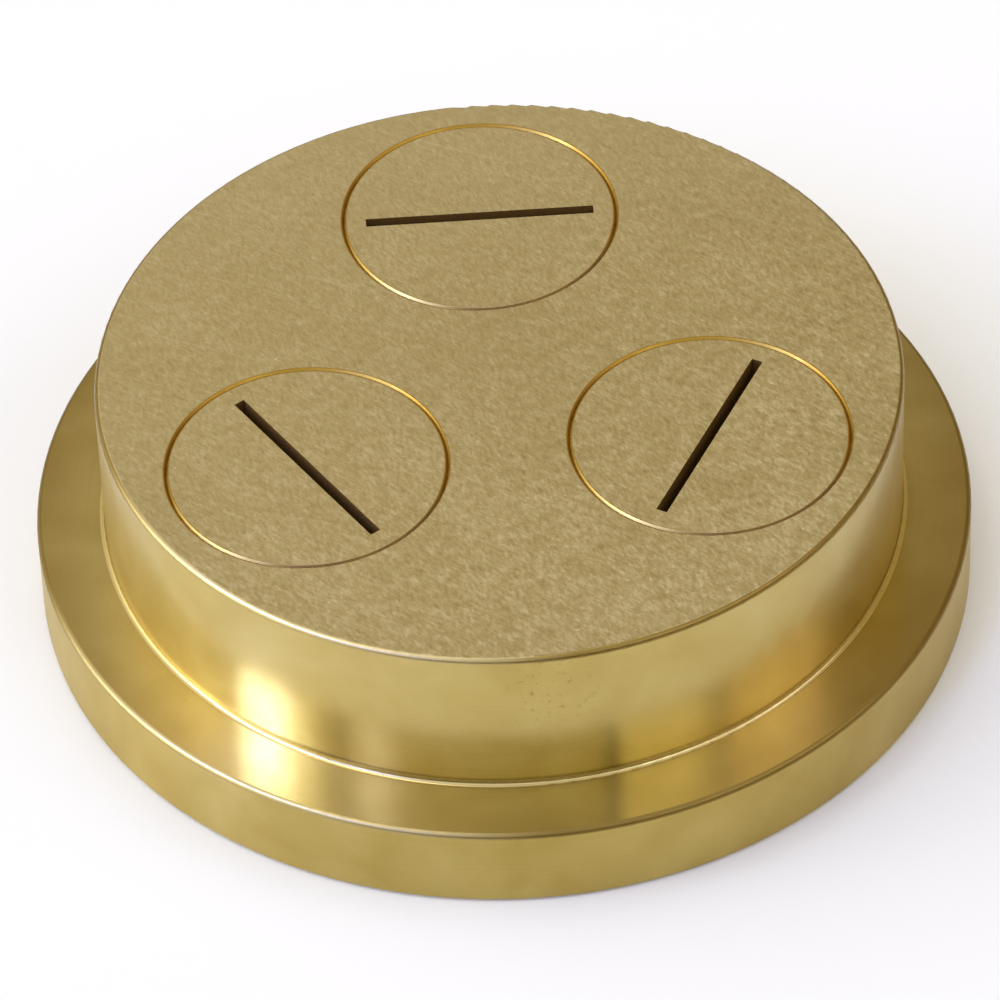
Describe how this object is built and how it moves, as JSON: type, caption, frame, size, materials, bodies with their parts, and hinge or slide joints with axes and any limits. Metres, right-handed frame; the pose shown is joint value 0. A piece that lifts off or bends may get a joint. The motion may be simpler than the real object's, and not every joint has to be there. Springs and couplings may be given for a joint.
{
  "type": "pasta extrusion die",
  "caption": "Stepped round pasta die: a raised body on a seating flange, with flush slotted inserts that shape dough into flat ribbons.",
  "frame": {"origin": "centre of the inlet side, where the die rests on its flange", "axes": "+Z along the die's axis, from the inlet side to the outlet face; +Y towards slotted_insert_1"},
  "size_m": [0.0668, 0.0668, 0.0187],
  "materials": {
    "turned_brass": "lapped front face, polished turned walls and flange",
    "insert_brass": "lapped flush with the body's front face"
  },
  "bodies": {
    "root": {"die_body": "turned_brass", "slotted_insert_1": "insert_brass", "slotted_insert_2": "insert_brass", "slotted_insert_3": "insert_brass"}
  },
  "joints": []
}
